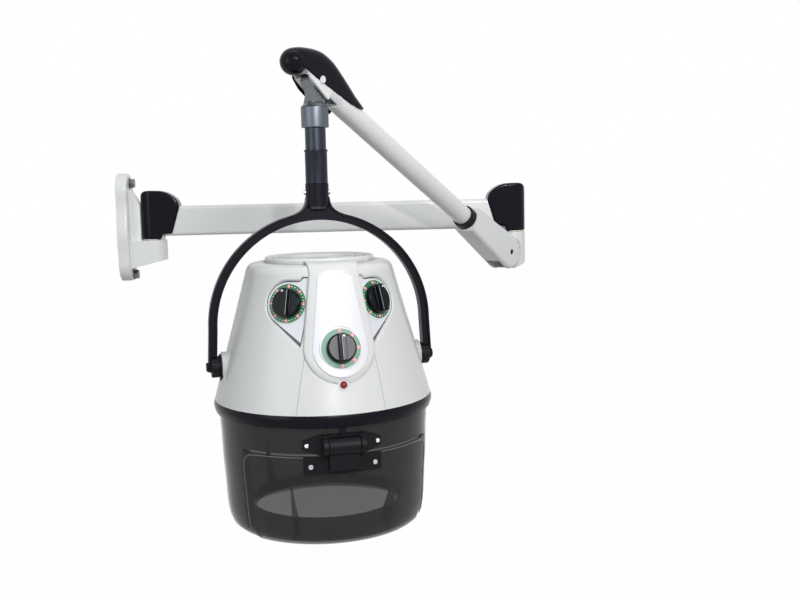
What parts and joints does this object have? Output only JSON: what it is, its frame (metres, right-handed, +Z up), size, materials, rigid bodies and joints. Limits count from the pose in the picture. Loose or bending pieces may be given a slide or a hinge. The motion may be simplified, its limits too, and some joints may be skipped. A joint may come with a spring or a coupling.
{
  "type": "wall arm hair processor",
  "caption": "Wall-mounted hooded hair processor: two-part folding arm, levelling head, yoke, tilting hood with dials and a smoked visor with a lifting front.",
  "frame": {"origin": "middle of the two wall bolts, on the wall face", "axes": "+X out of the wall along the first arm, +Z up, -Y towards the client's side"},
  "size_m": [0.898, 0.7054, 0.8374],
  "materials": {
    "white_cast": "gloss",
    "white_arm": "semi-gloss",
    "shell_white": "gloss",
    "grey_panel": "satin",
    "black_gloss": "gloss",
    "black_satin": "satin",
    "black_plastic": "satin",
    "steel": "satin",
    "chrome": "polished",
    "cast_grey": "cast",
    "rubber": "matt",
    "smoke": "smoked clear plastic",
    "green_scale": "satin",
    "pale_scale": "satin",
    "red_lamp": "gloss",
    "bowl_plastic": "satin",
    "copper_wire": "drawn",
    "bronze": "plain"
  },
  "bodies": {
    "wall_mount": {"wall_bracket": "white_cast", "wall_cap_nuts": "steel", "wall_pivot_pin": "steel", "wall_thrust_washer": "bronze"},
    "first_arm": {"first_arm_tube": "white_arm", "wall_end_socket": "white_cast", "elbow_end_socket": "white_cast", "wall_end_cap": "black_gloss", "elbow_end_cap": "black_gloss"},
    "elbow": {"elbow_post": "white_cast", "elbow_thrust_washer": "bronze"},
    "second_arm": {"lift_housing": "white_cast", "lift_pin": "steel", "tube_collar": "black_plastic", "second_arm_tube": "white_arm", "spring_seat": "steel", "balance_spring": "steel", "head_fork": "white_cast", "head_pin": "chrome", "head_cover": "black_gloss"},
    "levelling_link": {"link_rod": "steel"},
    "level_head": {"head_knuckle": "cast_grey", "steel_ferrule": "steel"},
    "column": {"column_tube": "black_satin", "column_bush": "bronze", "column_sleeve": "black_satin", "yoke": "black_satin", "yoke_screws": "steel"},
    "hood": {"hood_shell": "shell_white", "front_console": "shell_white", "console_inset": "grey_panel", "pilot_lamp": "red_lamp", "lamp_bezel": "grey_panel", "temperature_scale": "green_scale", "timer_scale": "green_scale", "speed_scale": "pale_scale", "crown_grille": "shell_white", "crown_disc": "grey_panel", "rim_gasket": "rubber", "smoked_shell": "smoke", "hinge_bracket": "black_plastic", "bracket_screws": "chrome", "friction_discs": "rubber", "inner_bowl": "bowl_plastic", "motor_plate": "steel", "fan_motor": "steel", "heater": "copper_wire", "thermostat": "black_plastic", "timer_unit": "black_plastic", "speed_switch": "black_plastic"},
    "fan": {"fan_wheel": "black_plastic"},
    "temperature_control": {"temperature_knob": "black_gloss"},
    "timer_control": {"timer_knob": "black_gloss"},
    "speed_control": {"speed_knob": "black_gloss"},
    "flap": {"visor_flap": "smoke", "hinge_barrel": "black_gloss", "hinge_plate": "black_plastic", "plate_screws": "steel"},
    "left_lock": {"left_tilt_knob": "black_plastic"},
    "right_lock": {"right_tilt_knob": "black_plastic"}
  },
  "joints": [
    {"name": "arm_swing", "type": "hinge", "parent": "wall_mount", "child": "first_arm", "pos_m": [0.072, 0, 0.016], "axis": [0, 0, 1], "range_deg": [-80, 80]},
    {"name": "elbow_swivel", "type": "hinge", "parent": "first_arm", "child": "elbow", "pos_m": [0.872, 0, 0.016], "axis": [0, 0, 1], "range_deg": [-4, 272]},
    {"name": "arm_lift", "type": "hinge", "parent": "elbow", "child": "second_arm", "pos_m": [0.84213, -0.03093, -0.069], "axis": [-0.7193, 0.6947, 0], "range_deg": [-35, 9]},
    {"name": "link_swing", "type": "hinge", "parent": "elbow", "child": "levelling_link", "pos_m": [0.84213, -0.03093, -0.056], "axis": [-0.7193, 0.6947, 0], "range_deg": [-35, 9]},
    {"name": "head_level", "type": "hinge", "parent": "second_arm", "child": "level_head", "pos_m": [0.4441, -0.4431, 0.26851], "axis": [-0.7193, 0.6947, 0], "range_deg": [-9, 35]},
    {"name": "column_swivel", "type": "hinge", "parent": "level_head", "child": "column", "pos_m": [0.4441, -0.4431, 0.26851], "axis": [0, 0, 1], "range_deg": [-170, 170]},
    {"name": "hood_tilt", "type": "hinge", "parent": "column", "child": "hood", "pos_m": [0.4441, -0.4431, -0.22929], "axis": [0.9781, 0.2079, 0], "range_deg": [-25, 25]},
    {"name": "fan_spin", "type": "hinge", "parent": "hood", "child": "fan", "pos_m": [0.4441, -0.4431, -0.19629], "axis": [0, 0, 1], "continuous": true},
    {"name": "temperature_turn", "type": "hinge", "parent": "hood", "child": "temperature_control", "pos_m": [0.38964, -0.57656, -0.10899], "axis": [-0.364, -0.8919, 0.2685], "range_deg": [-140, 140]},
    {"name": "timer_turn", "type": "hinge", "parent": "hood", "child": "timer_control", "pos_m": [0.54585, -0.54521, -0.10899], "axis": [0.68, -0.6823, 0.2685], "range_deg": [0, 320]},
    {"name": "speed_turn", "type": "hinge", "parent": "hood", "child": "speed_control", "pos_m": [0.47844, -0.60463, -0.18429], "axis": [0.2003, -0.9422, 0.2685], "range_deg": [-120, 120]},
    {"name": "flap_lift", "type": "hinge", "parent": "hood", "child": "flap", "pos_m": [0.4803, -0.64031, -0.33929], "axis": [-0.9836, -0.1805, 0], "range_deg": [0, 75]},
    {"name": "left_lock_turn", "type": "hinge", "parent": "column", "child": "left_lock", "pos_m": [0.25336, -0.48364, -0.22929], "axis": [-0.9781, -0.2079, 0], "range_deg": [-180, 180]},
    {"name": "right_lock_turn", "type": "hinge", "parent": "column", "child": "right_lock", "pos_m": [0.63484, -0.40256, -0.22929], "axis": [0.9781, 0.2079, 0], "range_deg": [-180, 180]}
  ],
  "couplings": [
    {"joint": "link_swing", "follows": "arm_lift", "ratio": 1},
    {"joint": "head_level", "follows": "arm_lift", "ratio": -1}
  ]
}
